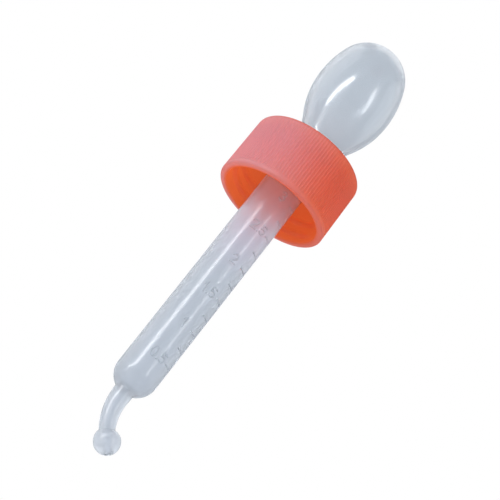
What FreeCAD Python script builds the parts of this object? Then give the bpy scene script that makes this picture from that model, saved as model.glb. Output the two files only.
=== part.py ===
"""A graduated medicine dropper: screw cap, squeeze bulb and ball-tipped measuring tube.

Frame: +Z runs up the dropper towards the bulb, and the nozzle bends towards +X.
The origin is the centre of the ring on the bulb's flange that seals on the bottle's lip.
All sizes are in millimetres and all angles in degrees.
"""

import FreeCAD, Part
import math
import os

# ---- screw cap -------------------------------------------------------------------------
CAP_DIAMETER = 27.4  # over the ribs, at the mouth
CAP_DRAFT = 0.2  # how far the skirt draws in, on each side, from mouth to top
CAP_HEIGHT = 15.5
CAP_TOP_ROUNDING = 1.2
CAP_MOUTH_ROUNDING = 0.45
CAP_BORE_DIAMETER = 24.0  # inside the skirt, at the root of the thread
ROOF_THICKNESS = 1.6
RIB_COUNT = 116
RIB_DEPTH = 0.2
FLUTE_RADIUS = 0.35  # of the round groove between two ribs
PLAIN_BAND = 1.0  # smooth band below the ribs
THREAD_PITCH = 3.175
THREAD_TURNS = 2.0
THREAD_DEPTH = 0.85
THREAD_ROOT_WIDTH = 1.7
THREAD_CREST_WIDTH = 0.7
THREAD_LEAD = 2.0  # from the mouth up to the middle of the thread's first turn

# ---- squeeze bulb ----------------------------------------------------------------------
BULB_WALL = 1.1
BULB_DIAMETER = 19.74
BULB_BELLY_HEIGHT = 18.8  # widest ring, above the cap's roof
BULB_CROWN_HEIGHT = 33.4  # top of the bulb, above the cap's roof
BULB_UPPER_RADIUS = 26.0  # of the side's outline above the belly
BULB_LOWER_RADIUS = 22.5  # of the side's outline below the belly
SHOULDER_ANGLE = 25.8  # of the cone below the belly, from the axis
NECK_DIAMETER = 10.5
NECK_FILLET = 4.0
NECK_JOIN_HEIGHT = 3.0  # where the side walls start, above the cap's roof
FLANGE_THICKNESS = 1.2
SEAL_RING_HEIGHT = 0.3
SEAL_RING_INSET = 0.3  # from the flange's edge

# ---- measuring tube --------------------------------------------------------------------
TUBE_DIAMETER = 10.0
TUBE_WALL = 0.9
TUBE_LENGTH = 63.4  # from the bulb's flange down to where the domed end starts
SPIGOT_WALL = 0.9
NOZZLE_ROOT_DIAMETER = 4.6
NOZZLE_TIP_DIAMETER = 3.5
NOZZLE_BORE = 1.8
NOZZLE_STRAIGHT = 1.1  # below the dome, before the bend starts
NOZZLE_BEND_RADIUS = 14.4
NOZZLE_BEND_ANGLE = 42.3
BALL_DIAMETER = 5.96

# ---- scale on the tube -----------------------------------------------------------------
MARK_VOLUME = 250.0  # cubic millimetres between two marks
MARK_COUNT = 11
FIRST_MARK_HEIGHT = 4.45  # above the start of the domed end
MARK_WIDTH = 0.35
MARK_RELIEF = 0.12
MARK_START_ANGLE = 42.0  # from the front, -Y, towards +X
MARK_SWEEP_ANGLE = 30.0

# ---- clearances ------------------------------------------------------------------------
NECK_CLEARANCE = 0.1  # radial, neck in the roof's hole
FLANGE_PLAY = 0.1  # axial, flange under the roof
FLANGE_CLEARANCE = 0.35  # radial, flange inside the thread's crest
SEAL_RING_CLEARANCE = 1.9  # radial, sealing ring outside the tube
WALL_GAP = 0.15  # between the bulb's separate stretches
SPIGOT_SETBACK = 0.6  # top of the spigot, below the start of the bulb's side walls
OVERLAP = 0.3  # how deep a raised feature is rooted in the wall that carries it

# ---- heights that follow ---------------------------------------------------------------
FLANGE_UNDERSIDE = SEAL_RING_HEIGHT
FLANGE_TOP = FLANGE_UNDERSIDE + FLANGE_THICKNESS
ROOF_UNDERSIDE = FLANGE_TOP + FLANGE_PLAY
CAP_TOP = ROOF_UNDERSIDE + ROOF_THICKNESS
CAP_MOUTH = CAP_TOP - CAP_HEIGHT
NECK_JOIN = CAP_TOP + NECK_JOIN_HEIGHT
BELLY = CAP_TOP + BULB_BELLY_HEIGHT
CROWN = CAP_TOP + BULB_CROWN_HEIGHT
DOME_START = FLANGE_UNDERSIDE - TUBE_LENGTH

# ---- radii that follow -----------------------------------------------------------------
CAP_RADIUS = CAP_DIAMETER / 2
CAP_BORE = CAP_BORE_DIAMETER / 2
NECK_RADIUS = NECK_DIAMETER / 2
SPIGOT_RADIUS = NECK_RADIUS - BULB_WALL
TUBE_RADIUS = TUBE_DIAMETER / 2
TUBE_BORE = TUBE_RADIUS - TUBE_WALL
FLANGE_RADIUS = CAP_BORE - THREAD_DEPTH - FLANGE_CLEARANCE
SEAL_RING_RADIUS = FLANGE_RADIUS - SEAL_RING_INSET
SEAL_RING_BORE = TUBE_RADIUS + SEAL_RING_CLEARANCE
SEAL_RING_WIDTH = SEAL_RING_RADIUS - SEAL_RING_BORE

AXIS = FreeCAD.Vector(0, 0, 1)
ORIGIN = FreeCAD.Vector(0, 0, 0)


def at(x, z):
    """The point at x and z in the plane Y = 0."""
    return FreeCAD.Vector(x, 0, z)


def arc_about(centre_x, centre_z, radius, start, end):
    """An arc in the plane Y = 0 between two angles, counted from +X towards +Z."""
    angles = [math.radians(a) for a in (start, (start + end) / 2, end)]
    points = [at(centre_x + radius * math.cos(a), centre_z + radius * math.sin(a)) for a in angles]
    return Part.Arc(*points).toShape()


def outline(corners):
    """A closed wire in the plane Y = 0 through (x, z, rounding) corners."""
    edges = []
    last = None
    first = None
    for i, (x, z, rounding) in enumerate(corners):
        corner = at(x, z)
        before = corners[i - 1]
        after = corners[(i + 1) % len(corners)]
        to_before = (at(before[0], before[1]) - corner).normalize()
        to_after = (at(after[0], after[1]) - corner).normalize()
        half = to_before.getAngle(to_after) / 2
        start = corner + to_before * (rounding / math.tan(half))
        end = corner + to_after * (rounding / math.tan(half))
        if last is None:
            first = start
        elif (start - last).Length > 1e-6:
            edges.append(Part.LineSegment(last, start).toShape())
        if rounding > 0:
            inward = (to_before + to_after).normalize()
            middle = corner + inward * (rounding / math.sin(half) - rounding)
            edges.append(Part.Arc(start, middle, end).toShape())
        last = end
    edges.append(Part.LineSegment(last, first).toShape())
    return Part.Wire(edges)


def turned(wire, sweep=360.0):
    """The solid that a closed wire in the plane Y = 0 sweeps about the Z axis."""
    return Part.Face(wire).revolve(ORIGIN, AXIS, sweep)


def ring(inner, outer, bottom, top):
    """A plain ring about the Z axis."""
    return turned(outline([(inner, bottom, 0), (outer, bottom, 0), (outer, top, 0), (inner, top, 0)]))


# ---- screw cap -------------------------------------------------------------------------


def cap_shell():
    """The cap's skirt and roof, with its mouth and its top edge rounded."""
    top_radius = CAP_RADIUS - CAP_DRAFT
    hole = NECK_RADIUS + NECK_CLEARANCE
    return turned(
        outline(
            [
                (hole, ROOF_UNDERSIDE, 0),
                (CAP_BORE, ROOF_UNDERSIDE, 0),
                (CAP_BORE, CAP_MOUTH, CAP_MOUTH_ROUNDING / 2),
                (CAP_RADIUS, CAP_MOUTH, CAP_MOUTH_ROUNDING),
                (top_radius, CAP_TOP, CAP_TOP_ROUNDING),
                (hole, CAP_TOP, 0),
            ]
        )
    )


def flutes():
    """The round grooves that leave the ribs standing, one between each two ribs."""
    lean = math.degrees(math.atan2(CAP_DRAFT, CAP_HEIGHT))
    start = CAP_RADIUS - CAP_DRAFT * PLAIN_BAND / CAP_HEIGHT + FLUTE_RADIUS - RIB_DEPTH
    groove = Part.makeCylinder(FLUTE_RADIUS, CAP_HEIGHT)
    groove.rotate(ORIGIN, FreeCAD.Vector(0, 1, 0), -lean)
    groove.translate(at(start, CAP_MOUTH + PLAIN_BAND))
    grooves = []
    for i in range(RIB_COUNT):
        one = groove.copy()
        one.rotate(ORIGIN, AXIS, i * 360 / RIB_COUNT)
        grooves.append(one)
    return Part.makeCompound(grooves)


def thread_ridge():
    """The right-hand ridge inside the skirt, rooted a little way into the wall."""
    root = CAP_BORE + OVERLAP
    crest = CAP_BORE - THREAD_DEPTH
    path = Part.makeHelix(THREAD_PITCH, THREAD_PITCH * THREAD_TURNS, root)
    section = Part.makePolygon(
        [
            at(root, -THREAD_ROOT_WIDTH / 2),
            at(root, THREAD_ROOT_WIDTH / 2),
            at(crest, THREAD_CREST_WIDTH / 2),
            at(crest, -THREAD_CREST_WIDTH / 2),
            at(root, -THREAD_ROOT_WIDTH / 2),
        ]
    )
    ridge = path.makePipeShell([section], True, True)
    ridge.translate(at(0, CAP_MOUTH + THREAD_LEAD))
    return ridge


def screw_cap():
    """The cap in one piece with its ribs and its thread."""
    return cap_shell().fuse(thread_ridge()).cut(flutes()).removeSplitter()


# ---- squeeze bulb ----------------------------------------------------------------------


def bulb_side(inset):
    """The edges of the bulb's side from its crown down to its neck's foot, moved inwards by inset.

    The crown is an arc centred on the axis, tangent to the upper side. Below the belly the lower
    side turns into a cone, and a fillet joins that to the straight neck.
    """
    radius = BULB_DIAMETER / 2
    upper_x = radius - BULB_UPPER_RADIUS
    lower_x = radius - BULB_LOWER_RADIUS
    rise = CROWN - BELLY
    crown_radius = (BULB_UPPER_RADIUS**2 - upper_x**2 - rise**2) / (2 * (BULB_UPPER_RADIUS - rise))
    crown_centre = CROWN - crown_radius
    turn = math.degrees(math.atan2(crown_centre - BELLY, -upper_x))
    slope = math.radians(SHOULDER_ANGLE)
    cone_top_x = lower_x + (BULB_LOWER_RADIUS - inset) * math.cos(slope)
    cone_top_z = BELLY - (BULB_LOWER_RADIUS - inset) * math.sin(slope)
    neck = NECK_RADIUS - inset
    corner_z = cone_top_z - (cone_top_x - neck) / math.tan(slope)
    fillet = NECK_FILLET + inset
    cut = fillet * math.tan(slope / 2)
    cone_foot = at(neck + cut * math.sin(slope), corner_z + cut * math.cos(slope))
    return [
        arc_about(0, crown_centre, crown_radius - inset, 90, turn),
        arc_about(upper_x, BELLY, BULB_UPPER_RADIUS - inset, turn, 0),
        arc_about(lower_x, BELLY, BULB_LOWER_RADIUS - inset, 0, -SHOULDER_ANGLE),
        Part.LineSegment(at(cone_top_x, cone_top_z), cone_foot).toShape(),
        arc_about(neck + fillet, corner_z - cut, fillet, 180 - SHOULDER_ANGLE, 180),
        Part.LineSegment(at(neck, corner_z - cut), at(neck, FLANGE_UNDERSIDE)).toShape(),
    ]


def bulb_body(inset):
    """The solid inside the bulb's side, moved inwards by inset."""
    neck = NECK_RADIUS - inset
    foot = Part.LineSegment(at(neck, FLANGE_UNDERSIDE), at(0, FLANGE_UNDERSIDE)).toShape()
    middle = Part.LineSegment(at(0, FLANGE_UNDERSIDE), at(0, CROWN - inset)).toShape()
    return turned(Part.Wire(bulb_side(inset) + [foot, middle]))


def bulb_shell():
    """The whole hollow bulb without its flange."""
    return bulb_body(0).cut(bulb_body(BULB_WALL))


def bulb_neck():
    """The part of the bulb that the cap holds: flange, sealing ring and neck."""
    keep = Part.makeCylinder(CAP_RADIUS, NECK_JOIN - FLANGE_UNDERSIDE, at(0, FLANGE_UNDERSIDE))
    flange = ring(SPIGOT_RADIUS, FLANGE_RADIUS, FLANGE_UNDERSIDE, FLANGE_TOP)
    seal = ring(SEAL_RING_BORE, SEAL_RING_RADIUS, 0, FLANGE_UNDERSIDE + OVERLAP)
    return bulb_shell().common(keep).fuse([flange, seal]).removeSplitter()


def bulb_wall(side):
    """One half of the bulb's squeezable wall: side is -1 at the front and 1 at the rear."""
    reach = BULB_DIAMETER
    bottom = NECK_JOIN + WALL_GAP
    block = Part.makeBox(2 * reach, reach, CROWN - bottom + 1)
    near = WALL_GAP / 2 if side > 0 else -WALL_GAP / 2 - reach
    block.translate(FreeCAD.Vector(-reach, near, bottom))
    return bulb_shell().common(block)


# ---- measuring tube --------------------------------------------------------------------


def tube_side(radius, top, top_radius, step):
    """A round-ended solid: a spigot of top_radius down to step, then the tube and its dome."""
    edges = [
        Part.LineSegment(at(0, top), at(top_radius, top)).toShape(),
        Part.LineSegment(at(top_radius, top), at(top_radius, step)).toShape(),
        Part.LineSegment(at(top_radius, step), at(radius, step)).toShape(),
        Part.LineSegment(at(radius, step), at(radius, DOME_START)).toShape(),
        arc_about(0, DOME_START, radius, 0, -90),
        Part.LineSegment(at(0, DOME_START - radius), at(0, top)).toShape(),
    ]
    return turned(Part.Wire(edges))


def nozzle_path(extra=0.0):
    """The nozzle's centre line, from inside the dome's wall to the ball's centre, plus extra."""
    start = at(0, DOME_START - TUBE_RADIUS + TUBE_WALL)
    bend = at(0, DOME_START - TUBE_RADIUS - NOZZLE_STRAIGHT)
    end = nozzle_end()
    edges = [
        Part.LineSegment(start, bend).toShape(),
        arc_about(NOZZLE_BEND_RADIUS, bend.z, NOZZLE_BEND_RADIUS, 180, 180 + NOZZLE_BEND_ANGLE),
    ]
    if extra > 0:
        edges.append(Part.LineSegment(end, end + nozzle_heading() * extra).toShape())
    return Part.Wire(edges)


def nozzle_end():
    """The ball's centre."""
    angle = math.radians(NOZZLE_BEND_ANGLE)
    drop = DOME_START - TUBE_RADIUS - NOZZLE_STRAIGHT - NOZZLE_BEND_RADIUS * math.sin(angle)
    return at(NOZZLE_BEND_RADIUS * (1 - math.cos(angle)), drop)


def nozzle_heading():
    """The direction in which the nozzle points at the ball."""
    angle = math.radians(NOZZLE_BEND_ANGLE)
    return at(math.sin(angle), -math.cos(angle))


def nozzle():
    """The tapered, bent nozzle with its ball, both solid."""
    path = nozzle_path()
    start = DOME_START - TUBE_RADIUS + TUBE_WALL
    root = Part.Wire(Part.makeCircle(NOZZLE_ROOT_DIAMETER / 2, at(0, start), AXIS))
    tip = Part.Wire(Part.makeCircle(NOZZLE_TIP_DIAMETER / 2, nozzle_end(), nozzle_heading() * -1))
    stem = path.makePipeShell([root, tip], True, True)
    ball = Part.makeSphere(BALL_DIAMETER / 2, nozzle_end())
    return stem.fuse(ball)


def nozzle_bore():
    """The liquid's way from the dome through the nozzle and out of the ball."""
    start = DOME_START - TUBE_RADIUS + TUBE_WALL
    circle = Part.Wire(Part.makeCircle(NOZZLE_BORE / 2, at(0, start), AXIS))
    return nozzle_path(BALL_DIAMETER).makePipeShell([circle], True, True)


def marks():
    """The short raised lines of the scale, spaced by the volume that the tube holds."""
    spacing = MARK_VOLUME / (math.pi * TUBE_BORE**2)
    lines = []
    for i in range(MARK_COUNT):
        middle = DOME_START + FIRST_MARK_HEIGHT + i * spacing
        low = middle - MARK_WIDTH / 2
        high = middle + MARK_WIDTH / 2
        inner = TUBE_RADIUS - OVERLAP
        outer = TUBE_RADIUS + MARK_RELIEF
        section = outline([(inner, low, 0), (outer, low, 0), (outer, high, 0), (inner, high, 0)])
        line = turned(section, MARK_SWEEP_ANGLE)
        line.rotate(ORIGIN, AXIS, MARK_START_ANGLE - 90)
        lines.append(line)
    return lines


def graduated_barrel():
    """The measuring tube in one piece with its spigot, scale, nozzle and ball tip."""
    spigot_top = NECK_JOIN - SPIGOT_SETBACK
    outside = tube_side(TUBE_RADIUS, spigot_top, SPIGOT_RADIUS, FLANGE_UNDERSIDE)
    inside = tube_side(TUBE_BORE, spigot_top, SPIGOT_RADIUS - SPIGOT_WALL, FLANGE_UNDERSIDE - TUBE_WALL)
    solid = outside.fuse([nozzle()] + marks())
    return solid.cut(inside).cut(nozzle_bore()).removeSplitter()


def main():
    """Builds every node, writes its STEP file and prints its size."""
    os.makedirs("parts", exist_ok=True)
    nodes = {
        "screw_cap": screw_cap(),
        "bulb_neck": bulb_neck(),
        "bulb_front_wall": bulb_wall(-1),
        "bulb_rear_wall": bulb_wall(1),
        "graduated_barrel": graduated_barrel(),
    }
    for name, shape in nodes.items():
        shape.exportStep(f"parts/{name}.step")
        box = shape.optimalBoundingBox()
        print(f"{name}: {len(shape.Solids)} solid, {shape.Volume:.1f} mm3, valid {shape.isValid()}")
        print(f"    x {box.XMin:.2f} to {box.XMax:.2f}, y {box.YMin:.2f} to {box.YMax:.2f}", end="")
        print(f", z {box.ZMin:.2f} to {box.ZMax:.2f}")


main()
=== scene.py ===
"""The looks of a graduated medicine dropper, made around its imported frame.

Lengths inside the classes are in millimetres, and MM turns them into the frame's metres when a mesh is made.
+Z runs up the dropper towards the bulb, -Y is its front and the nozzle bends towards +X.
"""

import logging
import math
from dataclasses import dataclass
from enum import Enum
from typing import Any, Sequence

import bmesh
import bpy
import numpy as np
from mathutils import Euler, Matrix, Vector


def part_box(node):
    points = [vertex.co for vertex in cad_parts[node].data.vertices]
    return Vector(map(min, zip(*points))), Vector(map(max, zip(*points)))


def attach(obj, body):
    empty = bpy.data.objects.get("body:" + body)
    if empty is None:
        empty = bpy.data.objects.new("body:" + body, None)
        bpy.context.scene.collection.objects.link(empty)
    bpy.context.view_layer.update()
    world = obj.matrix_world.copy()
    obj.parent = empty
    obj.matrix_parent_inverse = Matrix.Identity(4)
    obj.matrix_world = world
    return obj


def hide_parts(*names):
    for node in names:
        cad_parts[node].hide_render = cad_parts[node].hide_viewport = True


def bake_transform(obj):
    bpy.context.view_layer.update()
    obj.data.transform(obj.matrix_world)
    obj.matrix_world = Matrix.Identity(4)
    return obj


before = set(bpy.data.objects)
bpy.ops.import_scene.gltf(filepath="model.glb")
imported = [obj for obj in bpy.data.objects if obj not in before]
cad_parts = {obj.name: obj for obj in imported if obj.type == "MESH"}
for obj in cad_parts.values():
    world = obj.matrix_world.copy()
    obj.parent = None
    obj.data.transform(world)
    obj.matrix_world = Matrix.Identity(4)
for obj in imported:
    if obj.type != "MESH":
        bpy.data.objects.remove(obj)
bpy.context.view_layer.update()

log = logging.getLogger("dropper")

MM = 0.001
MM3_PER_ML = 1000.0
RELIEF = "relief"
SHARP_ANGLE = math.radians(50)
SAME_POINT = 0.0005 * MM
EMPTY_EDGE = 0.0001 * MM


class Side(Enum):
    """The half of the bulb that a wall belongs to, as the sign of its Y."""

    FRONT = -1
    REAR = 1


class Axis(Enum):
    """The place of an axis in a vector."""

    X = 0
    Y = 1
    Z = 2


# ---- shapes ----------------------------------------------------------------------------


def smooth(x: np.ndarray) -> np.ndarray:
    """Goes from 0 to 1 as x does, level at both ends, and stays there outside.

    Args:
        x: any numbers.

    Returns:
        3x^2 - 2x^3 of x held between 0 and 1.
    """
    t = np.clip(x, 0.0, 1.0)
    return t * t * (3 - 2 * t)


def arc(centre: Sequence[float], radius: float, start: float, end: float, steps: int) -> np.ndarray:
    """Points on an arc: the centre plus the radius times the cosine and sine of evenly spread angles.

    Args:
        centre: the two coordinates of the centre.
        radius: the arc's radius.
        start: first angle in degrees, counted from the first coordinate towards the second.
        end: last angle in degrees.
        steps: how many stretches the arc has.

    Returns:
        An array of steps + 1 points.
    """
    angle = np.radians(np.linspace(start, end, steps + 1))
    return np.stack([centre[0] + radius * np.cos(angle), centre[1] + radius * np.sin(angle)], axis=1)


def line(start: Sequence[float], end: Sequence[float], steps: int) -> np.ndarray:
    """Evenly spaced points from start to end.

    Args:
        start: first point.
        end: last point.
        steps: how many stretches the line has.

    Returns:
        An array of steps + 1 points.
    """
    return np.linspace(np.asarray(start, float), np.asarray(end, float), steps + 1)


def rounded(corners: Sequence[Sequence[float]], steps: int = 4) -> np.ndarray:
    """A closed outline whose corners are arcs tangent to both of their sides.

    Args:
        corners: (r, z, rounding) for each corner, in order.
        steps: how many stretches each rounded corner has.

    Returns:
        The outline's points, without a repeat of the first one at the end.
    """
    spots = np.array(corners, float)
    runs = []
    for i, (r, z, rounding) in enumerate(spots):
        here = np.array([r, z])
        back = spots[i - 1, :2] - here
        ahead = spots[(i + 1) % len(spots), :2] - here
        back /= np.linalg.norm(back)
        ahead /= np.linalg.norm(ahead)
        half = math.acos(np.clip(back @ ahead, -1, 1)) / 2
        inward = (back + ahead) / np.linalg.norm(back + ahead)
        centre = here + inward * rounding / math.sin(half)
        first = here + back * rounding / math.tan(half) - centre
        last = here + ahead * rounding / math.tan(half) - centre
        turn = math.atan2(first[0] * last[1] - first[1] * last[0], first @ last)
        angle = math.atan2(first[1], first[0]) + np.linspace(0, turn, steps + 1)
        runs.append(centre + rounding * np.stack([np.cos(angle), np.sin(angle)], axis=1))
    return np.concatenate(runs)


def filled(outline: np.ndarray, spacing: float) -> np.ndarray:
    """Adds evenly spaced points to the stretches of a closed outline that are longer than spacing.

    Args:
        outline: the points of a closed outline.
        spacing: the longest stretch that may stay.

    Returns:
        The outline with the added points.
    """
    runs = []
    for here, after in zip(outline, np.roll(outline, -1, axis=0)):
        steps = max(1, math.ceil(np.linalg.norm(after - here) / spacing))
        runs.append(line(here, after, steps)[:-1])
    return np.concatenate(runs)


def grid_faces(rows: int, columns: int, wrap_rows: bool, wrap_columns: bool) -> np.ndarray:
    """The quads between neighbouring points of a grid.

    Args:
        rows: number of rows.
        columns: number of columns.
        wrap_rows: whether the last row joins the first.
        wrap_columns: whether the last column joins the first.

    Returns:
        An array of four point numbers for each quad.
    """
    i = np.arange(rows if wrap_rows else rows - 1)[:, None]
    j = np.arange(columns if wrap_columns else columns - 1)[None, :]
    below = (i + 1) % rows
    right = (j + 1) % columns
    quads = [i * columns + j, i * columns + right, below * columns + right, below * columns + j]
    return np.stack(np.broadcast_arrays(*quads), axis=-1).reshape(-1, 4)


def solid(name: str, points: np.ndarray, faces: np.ndarray, merge: bool = False) -> bpy.types.Object:
    """Makes a closed piece from points in millimetres, with its faces turned outwards.

    The faces point outwards when the volume that they enclose, a sixth of the sum of each
    triangle's scalar triple product, is positive, so they're reversed if it is negative.

    Args:
        name: the piece's name.
        points: an array whose last axis holds x, y and z.
        faces: an array of four point numbers for each quad.
        merge: whether points that fall together are joined, as at a pole.

    Returns:
        The new object, with smooth shading that breaks at sharp edges.
    """
    spots = points.reshape(-1, 3) * MM
    a, b, c, d = (spots[faces[:, k]] for k in range(4))
    volume = np.einsum("ij,ij->", np.cross(a, b), c) + np.einsum("ij,ij->", np.cross(a, c), d)
    quads = faces if volume > 0 else faces[:, ::-1]
    mesh = bpy.data.meshes.new(name)
    mesh.vertices.add(len(spots))
    mesh.vertices.foreach_set("co", spots.astype(np.float32).ravel())
    mesh.loops.add(quads.size)
    mesh.loops.foreach_set("vertex_index", quads.astype(np.int32).ravel())
    mesh.polygons.add(len(quads))
    mesh.polygons.foreach_set("loop_start", np.arange(0, quads.size, 4, dtype=np.int32))
    mesh.update(calc_edges=True)
    mesh.validate()
    if merge:
        close_poles(mesh)
    mesh.shade_smooth()
    mesh.set_sharp_from_angle(angle=SHARP_ANGLE)
    piece = bpy.data.objects.new(name, mesh)
    bpy.context.scene.collection.objects.link(piece)
    return piece


def close_poles(mesh: bpy.types.Mesh) -> None:
    """Joins the points of a mesh that fall together and drops the faces that this leaves empty."""
    work = bmesh.new()
    work.from_mesh(mesh)
    bmesh.ops.remove_doubles(work, verts=work.verts, dist=SAME_POINT)
    bmesh.ops.dissolve_degenerate(work, dist=EMPTY_EDGE, edges=work.edges)
    work.to_mesh(mesh)
    work.free()


def turned(name: str, outline: np.ndarray, columns: int) -> bpy.types.Object:
    """Turns a closed (r, z) outline about the Z axis into a ring-shaped piece.

    Args:
        name: the piece's name.
        outline: the (r, z) points of the closed outline.
        columns: how many steps go round the axis.

    Returns:
        The new object.
    """
    theta = np.linspace(0, 2 * np.pi, columns, endpoint=False)[None, :]
    r = outline[:, :1]
    z = np.broadcast_to(outline[:, 1:], (len(outline), columns))
    points = np.stack([r * np.cos(theta), r * np.sin(theta), z], axis=-1)
    return solid(name, points, grid_faces(len(outline), columns, True, True))


# ---- shader graphs ---------------------------------------------------------------------


class Graph:
    """The node tree of one material or surround."""

    def __init__(self, owner: bpy.types.ID) -> None:
        """Empties the owner's node tree."""
        self.owner = owner
        self.owner.use_nodes = True
        self.tree = self.owner.node_tree
        self.tree.nodes.clear()

    def node(self, kind: str, settings: dict[str, Any] | None = None, **sockets: Any) -> bpy.types.Node:
        """Adds a node.

        Args:
            kind: the node's type, such as ShaderNodeMix.
            settings: the node's own settings, set before its sockets.
            sockets: a value, Signal or output for each input, by the input's name with spaces
                as underscores, or by its number as in i0.

        Returns:
            The new node.
        """
        made = self.tree.nodes.new(kind)
        for key, value in (settings or {}).items():
            setattr(made, key, value)
        for key, value in sockets.items():
            if key[0] == "i" and key[1:].isdigit():
                target = made.inputs[int(key[1:])]
            else:
                target = made.inputs[key.replace("_", " ")]
            if isinstance(value, Signal):
                self.tree.links.new(value.socket, target)
            elif isinstance(value, bpy.types.NodeSocket):
                self.tree.links.new(value, target)
            else:
                target.default_value = value
        return made

    def place(self) -> bpy.types.NodeSocket:
        """The point's Object coordinates."""
        return self.node("ShaderNodeTexCoord").outputs["Object"]

    def noise(self, per_mm: float, detail: float, stretch: Sequence[float] = (1, 1, 1)) -> "Signal":
        """Noise over the piece, about 0.5 on average.

        Args:
            per_mm: how many blotches there are in a millimetre.
            detail: how many finer layers are added.
            stretch: how much finer the pattern is along X, Y and Z.

        Returns:
            The noise as a signal.
        """
        scale = [s * per_mm / MM for s in stretch]
        moved = self.node("ShaderNodeMapping", Vector=self.place(), Scale=scale)
        made = self.node("ShaderNodeTexNoise", Vector=moved.outputs[0], Scale=1.0, Detail=detail)
        return Signal(self, made.outputs["Fac"])

    def along(self, axis: Axis) -> "Signal":
        """One Object coordinate, in millimetres."""
        parts = self.node("ShaderNodeSeparateXYZ", Vector=self.place())
        return Signal(self, parts.outputs[axis.value]) * (1 / MM)

    def blend(self, share: "Signal", first: Any, second: Any) -> bpy.types.NodeSocket:
        """Goes from the first colour to the second as share goes from 0 to 1.

        Args:
            share: how much of the second colour there is.
            first: a colour as three numbers, or an output that gives one.
            second: the same.

        Returns:
            The mixed colour.
        """
        ends = [c if isinstance(c, bpy.types.NodeSocket) else (*c, 1.0) for c in (first, second)]
        made = self.node("ShaderNodeMix", {"data_type": "RGBA"}, i0=share, i6=ends[0], i7=ends[1])
        return made.outputs[2]

    def bump(self, height: "Signal", depth_mm: float) -> bpy.types.NodeSocket:
        """A normal from a height signal whose full range stands depth_mm high."""
        made = self.node("ShaderNodeBump", Strength=1.0, Distance=depth_mm * MM, Height=height)
        return made.outputs["Normal"]

    def mix(self, share: Any, first: bpy.types.Node, second: bpy.types.Node) -> bpy.types.Node:
        """Mixes two shaders, going from the first to the second as share goes from 0 to 1."""
        return self.node("ShaderNodeMixShader", i0=share, i1=first.outputs[0], i2=second.outputs[0])

    def finish(self, shader: bpy.types.Node, output: str = "ShaderNodeOutputMaterial") -> bpy.types.ID:
        """Sends a shader to the owner's surface and returns the owner."""
        self.node(output, Surface=shader.outputs[0])
        return self.owner


class Signal:
    """A number that changes over a surface. Python's operators on it add Math nodes."""

    def __init__(self, graph: Graph, socket: bpy.types.NodeSocket) -> None:
        """Wraps an output of the graph."""
        self.graph = graph
        self.socket = socket

    def math(self, operation: str, *others: Any) -> "Signal":
        """Adds a Math node with this signal first and the others after it."""
        inputs = {f"i{k}": value for k, value in enumerate((self, *others))}
        made = self.graph.node("ShaderNodeMath", {"operation": operation}, **inputs)
        return Signal(self.graph, made.outputs[0])

    def reflected(self, operation: str, first: float) -> "Signal":
        """Adds a Math node with a plain number first and this signal second."""
        made = self.graph.node("ShaderNodeMath", {"operation": operation}, i0=first, i1=self)
        return Signal(self.graph, made.outputs[0])

    def __add__(self, other: Any) -> "Signal":
        """This plus other."""
        return self.math("ADD", other)

    __radd__ = __add__

    def __sub__(self, other: Any) -> "Signal":
        """This less other."""
        return self.math("SUBTRACT", other)

    def __rsub__(self, other: float) -> "Signal":
        """Other less this."""
        return self.reflected("SUBTRACT", other)

    def __mul__(self, other: Any) -> "Signal":
        """This times other."""
        return self.math("MULTIPLY", other)

    __rmul__ = __mul__

    def between(self, low: float, high: float) -> "Signal":
        """Goes from 0 to 1, level at both ends, as this goes from low to high."""
        made = self.graph.node(
            "ShaderNodeMapRange",
            {"interpolation_type": "SMOOTHSTEP"},
            Value=self,
            From_Min=low,
            From_Max=high,
        )
        return Signal(self.graph, made.outputs[0])


# ---- finishes --------------------------------------------------------------------------


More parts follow.
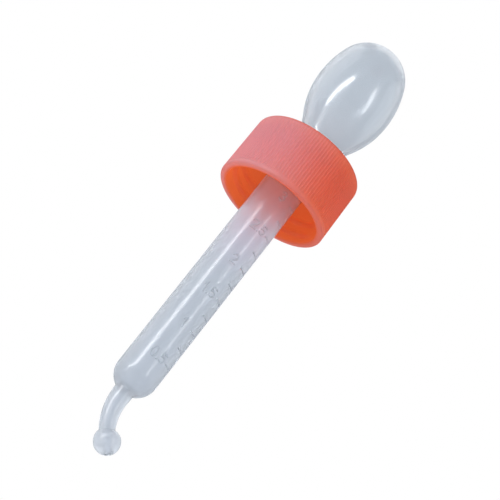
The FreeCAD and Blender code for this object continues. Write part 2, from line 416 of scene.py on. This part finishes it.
@dataclass(frozen=True)
class CoralPolypropylene:
    """Coral plastic with a satin skin, thin enough to glow inside.

    The skin pales to a whitish pink towards -X as a painted sheen of the key light on that side, the inside
    surfaces take a brighter red as painted glow, and the mouth's edge is worn greyer. Lengths are in
    millimetres.
    """

    name: str = "coral_polypropylene"
    # Painted sheen: the whitish pink that the skin takes on towards -X, standing in for the key light's sheen
    # on that side.
    painted_sheen: tuple[float, float, float] = (0.78, 0.61, 0.76)
    own_coral: tuple[float, float, float] = (0.92, 0.22, 0.14)
    # Painted glow: the inside surfaces take a brighter red than the outside skin, standing in for light that
    # passes through the walls.
    inside: tuple[float, float, float] = (1.0, 0.22, 0.12)
    worn: tuple[float, float, float] = (0.56, 0.36, 0.42)
    through: tuple[float, float, float] = (1.0, 0.41, 0.20)
    passing: float = 0.70
    passing_inside: float = 0.88
    roughness: float = 0.38
    cloud_roughness: float = 0.12
    grain_roughness: float = 0.10
    refraction: float = 1.49
    coat_roughness: float = 0.4
    clouds_per_mm: float = 0.09
    grains_per_mm: float = 5.0
    grain_mm: float = 0.003
    mouth: float = -12.3
    worn_band: float = 0.75
    worn_least: float = 0.3
    worn_grain: float = 0.4
    bore: float = 12.0
    skin_start: float = 0.1
    skin_full: float = 0.9
    roof_start: float = 2.2
    roof_full: float = 2.8
    sheen_reach: float = 13.0
    sheen_clouds: float = 0.3

    def material(self) -> bpy.types.Material:
        """Builds the material.

        Returns:
            The finished material.
        """
        g = Graph(bpy.data.materials.new(self.name))
        cloud = g.noise(self.clouds_per_mm, 2.0)
        grain = g.noise(self.grains_per_mm, 4.0)
        x, y, z = (g.along(axis) for axis in Axis)
        outer = (x * x + y * y).between((self.bore + self.skin_start) ** 2, (self.bore + self.skin_full) ** 2)
        roof = z.between(self.roof_start, self.roof_full)
        outer_skin = outer.math("MAXIMUM", roof)
        edge = 1 - z.between(self.mouth, self.mouth + self.worn_band)
        # Painted sheen: the outside pales towards -X, where the key light stands, unevenly with the clouds.
        sheen_share = x.between(self.sheen_reach, -self.sheen_reach) + (cloud - 0.5) * self.sheen_clouds
        skin_colour = g.blend(sheen_share.between(0.0, 1.0), self.own_coral, self.painted_sheen)
        # The inside surfaces take the painted glow colour and the outside takes the skin colour.
        body = g.blend(outer_skin, self.inside, skin_colour)
        wear = edge * (self.worn_least + self.worn_grain * grain)
        uneven = (cloud - 0.5) * self.cloud_roughness + (grain - 0.5) * self.grain_roughness
        skin = g.node(
            "ShaderNodeBsdfPrincipled",
            Base_Color=g.blend(wear, body, self.worn),
            Roughness=self.roughness + uneven,
            IOR=self.refraction,
            Coat_Weight=1.0,
            Coat_Roughness=self.coat_roughness,
            Normal=g.bump(grain, self.grain_mm),
        )
        glow = g.node("ShaderNodeBsdfTranslucent", Color=(*self.through, 1.0))
        walled = outer * (1 - roof)
        passing = self.passing_inside - walled * (self.passing_inside - self.passing)
        return g.finish(g.mix(passing, skin, glow))


@dataclass(frozen=True)
class MilkyPolyethylene:
    """Hazy clear plastic: most light passes the wall well blurred, and a little is scattered back.

    A piece with a glow colour takes it on towards the cap, between two heights in millimetres, in
    place of light that the cap throws into it. relief_haze is the added scatter where relief stands.
    """

    name: str
    colour: tuple[float, float, float]
    second: tuple[float, float, float]
    clear: float
    haze: float
    passing: float
    gloss: float
    grain_mm: float
    refraction: float = 1.51
    clouds_per_mm: float = 0.12
    cloud_stretch: tuple[float, float, float] = (1, 1, 0.35)
    cloud_roughness: float = 0.1
    cloud_passing: float = 0.06
    grains_per_mm: float = 2.4
    relief_haze: float = 0.0
    glow_colour: tuple[float, float, float] | None = None
    glow_start: float = -34.0
    glow_full: float = -14.0
    glow_passing: float = 0.08

    def material(self) -> bpy.types.Material:
        """Builds the material.

        Returns:
            The finished material.
        """
        g = Graph(bpy.data.materials.new(self.name))
        cloud = g.noise(self.clouds_per_mm, 2.0, self.cloud_stretch)
        grain = g.noise(self.grains_per_mm, 3.0)
        body = g.blend(cloud.between(0.3, 0.7), self.colour, self.second)
        share = self.passing + (cloud - 0.5) * self.cloud_passing
        if self.glow_colour:
            near_cap = g.along(Axis.Z).between(self.glow_start, self.glow_full)
            body = g.blend(near_cap, body, self.glow_colour)
            share = share + near_cap * self.glow_passing
        if self.relief_haze:
            raised = g.node("ShaderNodeAttribute", {"attribute_name": RELIEF}).outputs["Fac"]
            share = share + Signal(g, raised) * self.relief_haze
        skin = g.node(
            "ShaderNodeBsdfPrincipled",
            Base_Color=body,
            Roughness=self.haze + (cloud - 0.5) * self.cloud_roughness,
            IOR=self.refraction,
            Transmission_Weight=self.clear,
            Coat_Weight=1.0,
            Coat_Roughness=self.gloss,
            Normal=g.bump(grain, self.grain_mm),
        )
        through = g.node("ShaderNodeBsdfTranslucent", Color=(*self.colour, 1.0))
        return g.finish(g.mix(share, skin, through))


CAP_FINISH = CoralPolypropylene()
BARREL_FINISH = MilkyPolyethylene(
    name="milky_polyethylene_tube",
    colour=(0.87, 0.90, 0.94),
    second=(0.90, 0.93, 0.96),
    clear=0.93,
    haze=0.4,
    passing=0.06,
    gloss=0.19,
    grain_mm=0.004,
    relief_haze=0.5,
    glow_colour=(1.0, 0.92, 1.0),
)
BULB_FINISH = MilkyPolyethylene(
    name="milky_polyethylene_bulb",
    colour=(0.885, 0.92, 0.95),
    second=(0.91, 0.94, 0.965),
    clear=0.9,
    haze=0.21,
    passing=0.08,
    gloss=0.12,
    grain_mm=0.005,
)


def dress(piece: bpy.types.Object, material: bpy.types.Material) -> None:
    """Gives a piece its material."""
    piece.data.materials.append(material)


# ---- screw cap -------------------------------------------------------------------------


@dataclass
class ScrewCap:
    """The ribbed cap with its rounded edges, its roof's hole and its inside thread."""

    mouth: float
    top: float
    radius: float = 13.7
    draft: float = 0.2
    bore: float = 12.0
    roof: float = 1.6
    hole: float = 5.35
    ribs: int = 116
    steps_per_rib: int = 8
    rib_depth: float = 0.2
    rib_power: float = 0.8
    rib_foot: float = 0.4
    rib_head: float = 0.75
    plain_band: float = 1.0
    top_rounding: float = 1.2
    mouth_rounding: float = 0.45
    bore_rounding: float = 0.3
    hole_rounding: float = 0.15
    hole_break: float = 0.1
    row_spacing: float = 3.0
    thread_rows: int = 46
    skin_depth: float = 0.9
    bore_margin: float = 0.02
    pitch: float = 3.175
    turns: float = 2.0
    thread_depth: float = 0.85
    root_width: float = 1.7
    crest_width: float = 0.7
    lead: float = 2.0
    run_out: float = 0.6

    def outline(self) -> np.ndarray:
        """The cap's (r, z) section, with close rows where the thread stands."""
        under = self.top - self.roof
        corners = rounded(
            [
                (self.hole, under, self.hole_break),
                (self.bore, under, self.bore_rounding),
                (self.bore, self.mouth, self.mouth_rounding / 2),
                (self.radius, self.mouth, self.mouth_rounding),
                (self.radius - self.draft, self.top, self.top_rounding),
                (self.hole, self.top, self.hole_rounding),
            ],
            steps=5,
        )
        inner = corners[:, 0] < self.bore + 0.01
        gap = np.linalg.norm(np.roll(corners, -1, axis=0) - corners, axis=1)
        wall = int(np.argmax(np.where(inner, gap, 0)))
        rows = line(corners[wall], corners[wall + 1], self.thread_rows)[1:-1]
        skirt_foot = self.mouth + self.plain_band
        skirt_head = self.top - self.row_spacing
        fixed = [skirt_foot, skirt_foot + self.rib_foot / 2, skirt_foot + self.rib_foot, skirt_head]
        outer = [(self.radius - self.draft * (z - self.mouth) / (self.top - self.mouth), z) for z in fixed]
        split = int(np.argmax(np.where(corners[:, 0] > self.bore + 1, gap, 0)))
        pieces = [corners[: wall + 1], rows, corners[wall + 1 : split + 1], outer, corners[split + 1 :]]
        return filled(np.concatenate(pieces), self.row_spacing)

    def rib_depths(self, theta: np.ndarray, z: np.ndarray) -> np.ndarray:
        """How far the skirt falls in between ribs.

        The flute's depth follows the absolute sine of half the rib angle, raised to a power. It is
        full between the plain band and the top edge, and fades at both.
        """
        wave = np.abs(np.sin(self.ribs * theta / 2)) ** self.rib_power
        foot = smooth((z - self.mouth - self.plain_band) / self.rib_foot)
        head = 1 - smooth((z - self.top + self.top_rounding) / (self.rib_head * self.top_rounding))
        return self.rib_depth * wave * foot * head

    def thread_heights(self, theta: np.ndarray, z: np.ndarray) -> np.ndarray:
        """How far the thread stands in from the bore.

        A turn's middle rises by one pitch in a full angle, right-handed. The ridge is full within
        half its crest's width of that, falls evenly to half its root's width, and fades at its ends.
        """
        height = np.zeros(np.broadcast(theta, z).shape)
        full = 2 * np.pi * self.turns
        for turn in range(math.ceil(self.turns)):
            angle = theta + 2 * np.pi * turn
            middle = self.mouth + self.lead + self.pitch * angle / (2 * np.pi)
            away = np.abs(z - middle)
            share = (self.root_width / 2 - away) / ((self.root_width - self.crest_width) / 2)
            ends = smooth(angle / self.run_out) * smooth((full - angle) / self.run_out)
            height = np.maximum(height, self.thread_depth * np.clip(share, 0, 1) * ends)
        return height

    def build(self) -> bpy.types.Object:
        """Makes the cap as one closed grid round the axis.

        Returns:
            The cap, riding on its body.
        """
        outline = self.outline()
        columns = self.ribs * self.steps_per_rib
        theta = np.linspace(0, 2 * np.pi, columns, endpoint=False)[None, :]
        r = outline[:, :1]
        z = outline[:, 1:]
        outside = r > self.bore + self.skin_depth
        inside = np.abs(r - self.bore) < self.bore_margin
        radius = r - np.where(outside, self.rib_depths(theta, z), 0)
        radius = radius - np.where(inside, self.thread_heights(theta, z), 0)
        height = np.broadcast_to(z, radius.shape)
        points = np.stack([radius * np.cos(theta), radius * np.sin(theta), height], axis=-1)
        piece = solid("ribbed_cap", points, grid_faces(*radius.shape, True, True))
        dress(piece, CAP_FINISH.material())
        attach(piece, "cap")
        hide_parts("screw_cap")
        return piece


# ---- squeeze bulb ----------------------------------------------------------------------


@dataclass
class SqueezeBulb:
    """The soft bulb: neck with flange and sealing ring, and two walls that press together."""

    roof: float
    join: float
    crown: float = 33.4
    belly: float = 18.8
    radius: float = 9.87
    upper: float = 26.0
    lower: float = 22.5
    shoulder: float = 25.8
    neck: float = 5.25
    fillet: float = 4.0
    wall: float = 1.1
    flange: float = 10.8
    flange_low: float = 0.3
    flange_high: float = 1.5
    seal_outer: float = 10.5
    seal_inner: float = 6.9
    lean: float = 2.2
    lean_pivot: float = 15.5
    lean_over: float = 7.0
    press_outward: float = 0.14
    press_upward: float = 0.0224
    press_offset: float = 0.75
    neck_gap: float = 0.01
    seam: float = 0.02
    columns: int = 96

    def side(self, inset: float) -> np.ndarray:
        """The (r, z) side from neck to crown, z counted from the cap's roof.

        A straight neck, a fillet, a cone, a lower and an upper arc that meet at the belly, and a
        crown arc about the axis, each tangent to the next, all moved inwards by inset.
        """
        upper_r = self.radius - self.upper
        lower_r = self.radius - self.lower
        rise = self.crown - self.belly
        crown_radius = (self.upper**2 - upper_r**2 - rise**2) / (2 * (self.upper - rise))
        crown_centre = self.crown - crown_radius
        turn = math.degrees(math.atan2(crown_centre - self.belly, -upper_r))
        slope = math.radians(self.shoulder)
        cone_r = lower_r + (self.lower - inset) * math.cos(slope)
        cone_z = self.belly - (self.lower - inset) * math.sin(slope)
        neck = self.neck - inset
        corner = cone_z - (cone_r - neck) / math.tan(slope)
        fillet = self.fillet + inset
        cut = fillet * math.tan(slope / 2)
        start = self.join - self.roof
        return np.concatenate(
            [
                line((neck, start), (neck, max(corner - cut, start)), 1),
                arc((neck + fillet, corner - cut), fillet, 180, 180 - self.shoulder, 10)[1:],
                line((neck + cut * math.sin(slope), corner + cut * math.cos(slope)), (cone_r, cone_z), 8)[1:],
                arc((lower_r, self.belly), self.lower - inset, -self.shoulder, 0, 20)[1:],
                arc((upper_r, self.belly), self.upper - inset, 0, turn, 16)[1:],
                arc((0, crown_centre), crown_radius - inset, turn, 90, 26)[1:],
            ]
        )

    def leaned(self, points: np.ndarray) -> np.ndarray:
        """Leans the bulb a little towards -X.

        Each point turns about a pivot on the axis, by an angle that grows from nothing at the neck
        to the full lean at lean_over above it.
        """
        x, y, z = points[..., 0], points[..., 1], points[..., 2] - self.roof
        angle = math.radians(self.lean) * smooth((z - self.join + self.roof) / self.lean_over)
        up = z - self.lean_pivot
        leaned_x = x * np.cos(angle) - up * np.sin(angle)
        leaned_z = x * np.sin(angle) + up * np.cos(angle) + self.lean_pivot
        return np.stack([leaned_x, y, leaned_z + self.roof], axis=-1)

    def build_wall(self, side: Side) -> bpy.types.Object:
        """Makes one half of the bulb's wall as a closed shell.

        Its grid runs up the outer side, over the crown and down the inner side, and half way round
        the axis. Strips between the outer and the inner side close it along the seam.

        Args:
            side: the half that the wall is.

        Returns:
            The wall.
        """
        outer, inner = self.side(0), self.side(self.wall)
        loop = np.concatenate([outer, inner[::-1]])
        theta = np.linspace(0, np.pi, self.columns + 1)[None, :]
        r, z = loop[:, :1], loop[:, 1:] + self.roof
        across = side.value * (self.seam / 2 + r * np.sin(theta))
        points = np.stack([r * np.cos(theta), across, np.broadcast_to(z, across.shape)], axis=-1)
        count, wide = len(loop), self.columns + 1
        i = np.arange(len(outer) - 1)
        left = np.stack([i, i + 1, count - 2 - i, count - 1 - i], axis=1) * wide
        right = left[:, ::-1] + self.columns
        faces = np.concatenate([grid_faces(count, wide, True, False), left, right])
        name = f"bulb_{side.name.lower()}_skin"
        piece = solid(name, self.leaned(points), faces, merge=True)
        dress(piece, BULB_FINISH.material())
        self.press(piece, side)
        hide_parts(f"bulb_{side.name.lower()}_wall")
        return piece

    def press(self, piece: bpy.types.Object, side: Side) -> None:
        """Works out where a wall's pressed belly would start and end, and bakes the wall's placement into its
        mesh; nothing makes the belly move.

        The share that would move rises along an oblique line, outwards and a little upwards, so that
        neck, crown and seam all lie before its start.
        """
        square = self.press_outward**2 + self.press_upward**2
        step = np.array([0, side.value * self.press_outward, self.press_upward]) / square
        start = np.array([0, 0, self.roof]) + self.press_offset * step
        end = start + step
        body = f"bulb_{side.name.lower()}"
        tuple(start * MM)
        tuple(end * MM)
        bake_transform(piece)

    def build_neck(self) -> bpy.types.Object:
        """Makes the neck with its flange and sealing ring by turning their section.

        Returns:
            The neck, riding with the barrel.
        """
        bore = self.neck - self.wall
        section = rounded(
            [
                (bore, self.flange_low, 0.05),
                (self.seal_inner, self.flange_low, 0.05),
                (self.seal_inner, 0, 0.08),
                (self.seal_outer, 0, 0.08),
                (self.seal_outer, self.flange_low, 0.05),
                (self.flange, self.flange_low, 0.1),
                (self.flange, self.flange_high, 0.3),
                (self.neck, self.flange_high, 0.1),
                (self.neck, self.join - self.neck_gap, 0.02),
                (bore, self.join - self.neck_gap, 0.02),
            ]
        )
        piece = turned("bulb_neck_and_flange", filled(section, 1.0), 2 * self.columns)
        dress(piece, BULB_FINISH.material())
        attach(piece, "dropper")
        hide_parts("bulb_neck")
        return piece


# ---- graduated barrel ------------------------------------------------------------------


@dataclass(frozen=True)
class Numerals:
    """Raised numerals drawn with strokes in a cell one unit high."""

    height: float = 2.5
    stroke: float = 0.36
    gap: float = 0.2
    soft: float = 0.14
    digit_width: float = 0.62

    @staticmethod
    def bow(centre: Sequence[float], wide: float, tall: float, start: float, end: float) -> np.ndarray:
        """Points on part of an ellipse, between two angles in degrees."""
        circle = arc((0, 0), 1.0, start, end, 16)
        return circle * [wide, tall] + np.asarray(centre)

    def strokes(self, sign: str) -> tuple[float, list[np.ndarray]]:
        """The width of a sign's cell and its strokes.

        Args:
            sign: 0, 1, 2, 3, 5 or a point.

        Returns:
            The width and a list of polylines, in shares of the height.
        """
        if sign == "0":
            return self.digit_width, [self.bow((0.31, 0.5), 0.25, 0.44, 0, 360)]
        if sign == "1":
            return 0.40, [np.array([(0.04, 0.76), (0.24, 0.94), (0.24, 0.06)])]
        if sign == "2":
            hook = self.bow((0.30, 0.68), 0.25, 0.26, 165, -35)
            return self.digit_width, [np.concatenate([hook, [(0.06, 0.06), (0.58, 0.06)]])]
        if sign == "3":
            upper = self.bow((0.28, 0.72), 0.22, 0.22, 150, -90)
            lower = self.bow((0.28, 0.28), 0.26, 0.23, 90, -150)
            return self.digit_width, [np.concatenate([upper, lower])]
        if sign == "5":
            flag = np.array([(0.54, 0.94), (0.12, 0.94), (0.09, 0.55)])
            return self.digit_width, [np.concatenate([flag, self.bow((0.29, 0.33), 0.26, 0.27, 125, -150)])]
        return 0.2, [np.array([(0.1, 0.07), (0.1, 0.09)])]

    def heights(self, text: str, x: np.ndarray, y: np.ndarray) -> np.ndarray:
        """How far a text stands out, as a share of its relief.

        The share is full within a stroke's core, and falls smoothly to nothing at its edge: it
        follows the least distance to any stroke.

        Args:
            text: the signs to write.
            x: places along the text from its middle, in millimetres.
            y: places up the text from its middle, in millimetres.

        Returns:
            A share from 0 to 1 for each place.
        """
        cells = [self.strokes(sign) for sign in text]
        total = sum(w for w, _ in cells) * self.height + self.gap * (len(cells) - 1)
        left = -total / 2
        nearest = np.full(x.shape, np.inf)
        for wide, runs in cells:
            for run in runs:
                spots = run * self.height + [left, -self.height / 2]
                for a, b in zip(spots[:-1], spots[1:]):
                    way = b - a
                    t = ((x - a[0]) * way[0] + (y - a[1]) * way[1]) / max(way @ way, 1e-9)
                    t = np.clip(t, 0, 1)
                    away = np.hypot(x - a[0] - t * way[0], y - a[1] - t * way[1])
                    nearest = np.minimum(nearest, away)
            left += wide * self.height + self.gap
        edge = (self.stroke + self.soft) / 2
        return smooth((edge - nearest) / self.soft)


@dataclass
class GraduatedBarrel:
    """The measuring tube with its scale, domed end, bent nozzle and ball, bored right through."""

    top: float
    radius: float = 5.0
    wall: float = 0.9
    shoulder: float = 0.3
    shoulder_break: float = 0.1
    spigot: float = 4.15
    spigot_cone: float = 0.9
    dome: float = -63.1
    nozzle_root: float = 2.3
    nozzle_tip: float = 1.75
    nozzle_bore: float = 0.9
    nozzle_straight: float = 1.1
    nozzle_fillet: float = 0.6
    mouth_lip: float = 0.15
    mouth_break: float = 0.1
    bend_radius: float = 14.4
    bend_angle: float = 42.3
    ball: float = 2.98
    first_mark: float = 4.45
    mark_volume: float = 250.0
    first_amount: float = 0.5
    marks: int = 11
    mark_width: float = 0.35
    mark_from: float = 42.0
    mark_to: float = 72.0
    mark_soft: float = 0.16
    mark_end_soft: float = 1.6
    numeral_drop: float = -0.4
    numeral_angle: float = 12.0
    numeral_band: float = 1.6
    relief: float = 0.2
    numerals: Numerals = Numerals()

    def __post_init__(self) -> None:
        """Works out the heights that follow."""
        self.bore = self.radius - self.wall
        self.spacing = self.mark_volume / (math.pi * self.bore**2)
        self.bend_start = self.radius + self.nozzle_straight - self.dome
        self.ball_at = self.bend_start + self.bend_radius * math.radians(self.bend_angle)

    def outside(self) -> np.ndarray:
        """The (a, r) outside from the spigot's top to the ball's mouth.

        a is the way down the centre line, equal to -z above the bend. The dome is a quarter circle
        joined to the nozzle by a small fillet, and the nozzle narrows evenly to the ball.
        """
        fillet = self.nozzle_fillet
        meet = math.degrees(math.asin((self.nozzle_root + fillet) / (self.radius + fillet)))
        depth = (self.radius + fillet) * math.cos(math.radians(meet))
        dome = arc((-self.dome, 0), self.radius, 90, meet, 18)
        neck = arc((-self.dome + depth, self.nozzle_root + fillet), fillet, 270 - meet, 270, 6)
        ball_start = math.degrees(math.asin(self.nozzle_tip / self.ball))
        ball_end = math.degrees(math.asin((self.nozzle_bore + self.mouth_lip) / self.ball))
        ball = arc((self.ball_at, 0), self.ball, 180 - ball_start, ball_end, 30)
        nozzle = line(neck[-1], (ball[0, 0], self.nozzle_tip), 44)
        chamfer = self.shoulder_break
        return np.concatenate(
            [
                line((-self.top, self.spigot), (-self.shoulder, self.spigot), 4),
                line((-self.shoulder, self.radius - chamfer), (-self.shoulder + chamfer, self.radius), 1),
                self.tube_rows(),
                dome,
                neck[1:],
                nozzle[1:-1],
                ball,
            ]
        )

    def tube_rows(self) -> np.ndarray:
        """The rows down the tube, close together where numerals and marks stand."""
        start, end = -self.shoulder + self.shoulder_break, -self.dome
        rows = [np.linspace(start, end, 44)[1:-1]]
        for i in range(self.marks):
            mark = self.mark_height(i)
            rows.append(-mark + np.linspace(-0.32, 0.32, 9))
        for _, middle in self.texts():
            rows.append(-middle + np.arange(-1.4, 1.41, 0.1))
        places = np.unique(np.round(np.concatenate(rows), 3))
        places = places[np.concatenate([[True], np.diff(places) > 0.03])]
        return np.stack([places, np.full(places.shape, self.radius)], axis=1)

    def mark_height(self, number: int) -> float:
        """The z of a mark, counted from 0 at the lowest."""
        return self.dome + self.first_mark + number * self.spacing

    def texts(self) -> list[tuple[str, float]]:
        """Each numeral's text with its middle's z: one for every second mark."""
        found = []
        for i in range(0, self.marks, 2):
            amount = self.first_amount + i * self.mark_volume / MM3_PER_ML
            found.append((f"{amount:g}", self.mark_height(i) - self.numeral_drop))
        return found

    def inside(self) -> np.ndarray:
        """The (a, r) inside from the ball's mouth back up to the spigot's top."""
        mouth = self.ball_at + math.sqrt(self.ball**2 - self.nozzle_bore**2)
        lip = self.nozzle_bore
        start = math.degrees(math.asin(lip / self.bore))
        dome = arc((-self.dome, 0), self.bore, start, 90, 18)
        spigot_bore = self.spigot - self.wall
        cone_top = self.wall - self.shoulder
        return np.concatenate(
            [
                line((mouth - self.mouth_break, lip), (dome[0, 0], lip), 48),
                dome[1:],
                line((-self.dome, self.bore), (cone_top + self.spigot_cone, self.bore), 40)[1:],
                line((cone_top, spigot_bore), (-self.top, spigot_bore), 4),
            ]
        )

    def columns(self) -> np.ndarray:
        """Angles round the tube from its front towards +X, in degrees.

        They are close together on the numerals and at both ends of the marks.
        """
        return np.concatenate(
            [
                np.arange(-16, 34, 0.8),
                np.arange(34, 41, 2.4),
                self.mark_from + np.array([-0.8, -0.2, 0.6]),
                np.arange(45, 70, 3.0),
                self.mark_to + np.array([-0.6, 0.2, 0.8]),
                np.arange(76, 342, 3.8),
            ]
        )

    def raised(self, a: np.ndarray, front: np.ndarray) -> np.ndarray:
        """How far the marks and numerals stand out of the tube.

        Args:
            a: the way down the centre line, a column of rows.
            front: angles from the front towards +X in degrees, a row of columns.

        Returns:
            The relief in millimetres over the whole grid.
        """
        z, turn = np.broadcast_arrays(-a, front)
        height = np.zeros(z.shape)
        half = self.mark_end_soft / 2
        foot = smooth((turn - self.mark_from + half) / self.mark_end_soft)
        ends = foot * smooth((self.mark_to + half - turn) / self.mark_end_soft)
        edge = (self.mark_width + self.mark_soft) / 2
        for i in range(self.marks):
            away = np.abs(z - self.mark_height(i))
            height = np.maximum(height, ends * smooth((edge - away) / self.mark_soft))
        along = np.radians(turn - self.numeral_angle) * self.radius
        for text, middle in self.texts():
            band = np.abs(a[:, 0] + middle) < self.numeral_band
            share = self.numerals.heights(text, along[band], z[band] - middle)
            height[band] = np.maximum(height[band], share)
        return self.relief * height

    def centre(self, a: np.ndarray) -> tuple[np.ndarray, np.ndarray]:
        """The centre line: straight down, then an arc towards +X, then straight on.

        Args:
            a: the way down the line.

        Returns:
            The (x, z) of each place, and the (x, z) of the direction square to the line.
        """
        past = np.maximum(a - self.bend_start, 0)
        full = math.radians(self.bend_angle)
        phi = np.minimum(past / self.bend_radius, full)
        extra = past - phi * self.bend_radius
        x = self.bend_radius * (1 - np.cos(phi)) + extra * np.sin(phi)
        z = -np.minimum(a, self.bend_start) - self.bend_radius * np.sin(phi) - extra * np.cos(phi)
        return np.stack([x, z], axis=-1), np.stack([np.cos(phi), np.sin(phi)], axis=-1)

    def build(self) -> bpy.types.Object:
        """Carries the section loop along the centre line as one closed grid.

        Each point is the centre line's place plus the radius times the cosine of its angle square
        to the line in the bend's plane and times the sine along Y.

        Returns:
            The barrel, riding on the dropper's body.
        """
        outside, inside = self.outside(), self.inside()
        loop = np.concatenate([outside, inside])
        front = self.columns()[None, :]
        a, r = loop[:, :1], loop[:, 1:]
        outer = (np.arange(len(loop)) < len(outside))[:, None] & (np.abs(r - self.radius) < 1e-6)
        raised = np.where(outer, self.raised(a, front), 0)
        radius = r + raised
        angle = np.radians(front - 90)
        spot, square = self.centre(a[:, 0])
        x = spot[:, :1] + radius * np.cos(angle) * square[:, :1]
        z = spot[:, 1:] + radius * np.cos(angle) * square[:, 1:]
        points = np.stack([x, radius * np.sin(angle), z], axis=-1)
        piece = solid("measuring_tube", points, grid_faces(*radius.shape, True, True))
        share = piece.data.attributes.new(RELIEF, "FLOAT", "POINT")
        share.data.foreach_set("value", (raised / self.relief).astype(np.float32).ravel())
        dress(piece, BARREL_FINISH.material())
        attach(piece, "dropper")
        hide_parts("graduated_barrel")
        return piece


# ---- studio ----------------------------------------------------------------------------


@dataclass(frozen=True)
class SoftBox:
    """A soft box: its direction in degrees round from the front towards +X and above level, its
    size in millimetres, how bright it is beside a white backdrop and its roll in degrees."""

    name: str
    azimuth: float
    height: float
    wide: float
    tall: float
    radiance: float
    roll: float = 0.0


@dataclass
class Studio:
    """Pale floor, even cool light, soft boxes and the camera."""

    floor_height: float = -320.0
    floor_size: float = 8000.0
    aim: tuple[float, float, float] = (2.52, 0.0, -23.9)
    distance: float = 480.0
    tilt: float = 24.26
    roll: float = 38.13
    focal_share: float = 4.3604
    ambient: tuple[float, float, float] = (0.64, 0.68, 0.74)
    sensor: float = 36.0
    clip: tuple[float, float] = (0.01, 50.0)
    lamp_distance: float = 1000.0
    boxes: tuple[SoftBox, ...] = (
        SoftBox("key_box", -49.0, 8.0, 135, 920, 10.0, -36.0),
        SoftBox("back_box", 165.0, 70.0, 700, 700, 0.5),
        SoftBox("side_box", 37.0, 19.0, 50, 560, 11.0, 20.0),
        SoftBox("left_fill", -105.0, 25.0, 1200, 1200, 0.45),
        SoftBox("right_fill", 95.0, 25.0, 1000, 1000, 0.4),
    )

    def build_floor(self) -> None:
        """A plain pale floor far enough below for the low camera."""
        half = self.floor_size / 2
        corners = np.array([(-half, -half), (half, -half), (half, half), (-half, half)])
        spots = np.concatenate([corners, np.full((4, 1), self.floor_height)], axis=1) * MM
        mesh = bpy.data.meshes.new("floor")
        mesh.from_pydata(spots.tolist(), [], [(0, 1, 2, 3)])
        floor = bpy.data.objects.new("floor", mesh)
        bpy.context.scene.collection.objects.link(floor)
        g = Graph(bpy.data.materials.new("pale_floor"))
        mesh.materials.append(
            g.finish(g.node("ShaderNodeBsdfPrincipled", Base_Color=(0.9, 0.9, 0.9, 1), Roughness=0.7))
        )

    def build_world(self) -> None:
        """An even, cool surround that lights the dropper, in front of a white backdrop."""
        g = Graph(bpy.data.worlds.new("studio"))
        path = g.node("ShaderNodeLightPath")
        light = g.node("ShaderNodeBackground", Color=(*self.ambient, 1.0), Strength=1.0)
        backdrop = g.node("ShaderNodeBackground", Color=(1.0, 1.0, 1.0, 1.0), Strength=1.0)
        both = g.mix(path.outputs["Is Camera Ray"], light, backdrop)
        bpy.context.scene.world = g.finish(both, "ShaderNodeOutputWorld")

    def build_light(self, box: SoftBox) -> None:
        """Puts a soft box at the lamps' distance, facing the dropper."""
        data = bpy.data.lights.new(box.name, "AREA")
        data.shape = "RECTANGLE"
        data.size, data.size_y = box.wide * MM, box.tall * MM
        data.energy = box.radiance * math.pi * box.wide * box.tall * MM**2
        lamp = bpy.data.objects.new(box.name, data)
        around, up = math.radians(box.azimuth), math.radians(box.height)
        away = np.array([math.sin(around) * math.cos(up), -math.cos(around) * math.cos(up), math.sin(up)])
        lamp.location = (np.array(self.aim) + self.lamp_distance * away) * MM
        facing = Euler((math.pi / 2 - up, 0, around)).to_matrix()
        lamp.rotation_euler = (facing @ Matrix.Rotation(math.radians(box.roll), 3, "Z")).to_euler()
        bpy.context.scene.collection.objects.link(lamp)

    def build_camera(self) -> None:
        """A long lens below the dropper, tilted up and rolled so that the bulb leans to the right."""
        tilt, roll = math.radians(self.tilt), math.radians(self.roll)
        ahead = np.array([0, math.cos(tilt), math.sin(tilt)])
        upright = np.array([0, -math.sin(tilt), math.cos(tilt)])
        level = np.array([1.0, 0, 0])
        right = upright * math.sin(roll) + level * math.cos(roll)
        above = upright * math.cos(roll) - level * math.sin(roll)
        data = bpy.data.cameras.new("camera")
        data.sensor_width = self.sensor
        data.lens = self.focal_share * self.sensor
        data.clip_start, data.clip_end = self.clip
        camera = bpy.data.objects.new("camera", data)
        place = (np.array(self.aim) - self.distance * ahead) * MM
        matrix = np.eye(4)
        matrix[:3, 0], matrix[:3, 1], matrix[:3, 2], matrix[:3, 3] = right, above, -ahead, place
        camera.matrix_world = Matrix(matrix.tolist())
        bpy.context.scene.collection.objects.link(camera)
        bpy.context.scene.camera = camera

    def build(self) -> None:
        """Makes the floor, the surround, the lights and the camera."""
        self.build_camera()
        self.build_floor()
        self.build_world()
        for box in self.boxes:
            self.build_light(box)
        bpy.context.scene.view_settings.view_transform = "Standard"


def main() -> None:
    """Builds the studio and the dropper's pieces, and reports each piece."""
    logging.basicConfig(level=logging.INFO)
    Studio().build()
    cap_low, cap_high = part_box("screw_cap")
    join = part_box("bulb_neck")[1].z / MM
    cap = ScrewCap(mouth=cap_low.z / MM, top=cap_high.z / MM)
    bulb = SqueezeBulb(roof=cap.top, join=join)
    barrel = GraduatedBarrel(top=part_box("graduated_barrel")[1].z / MM)
    pieces = [
        cap.build(),
        bulb.build_neck(),
        bulb.build_wall(Side.FRONT),
        bulb.build_wall(Side.REAR),
        barrel.build(),
    ]
    for piece in pieces:
        log.info("%s: %d points, %d faces", piece.name, len(piece.data.vertices), len(piece.data.polygons))


if __name__ == "__main__":
    main()
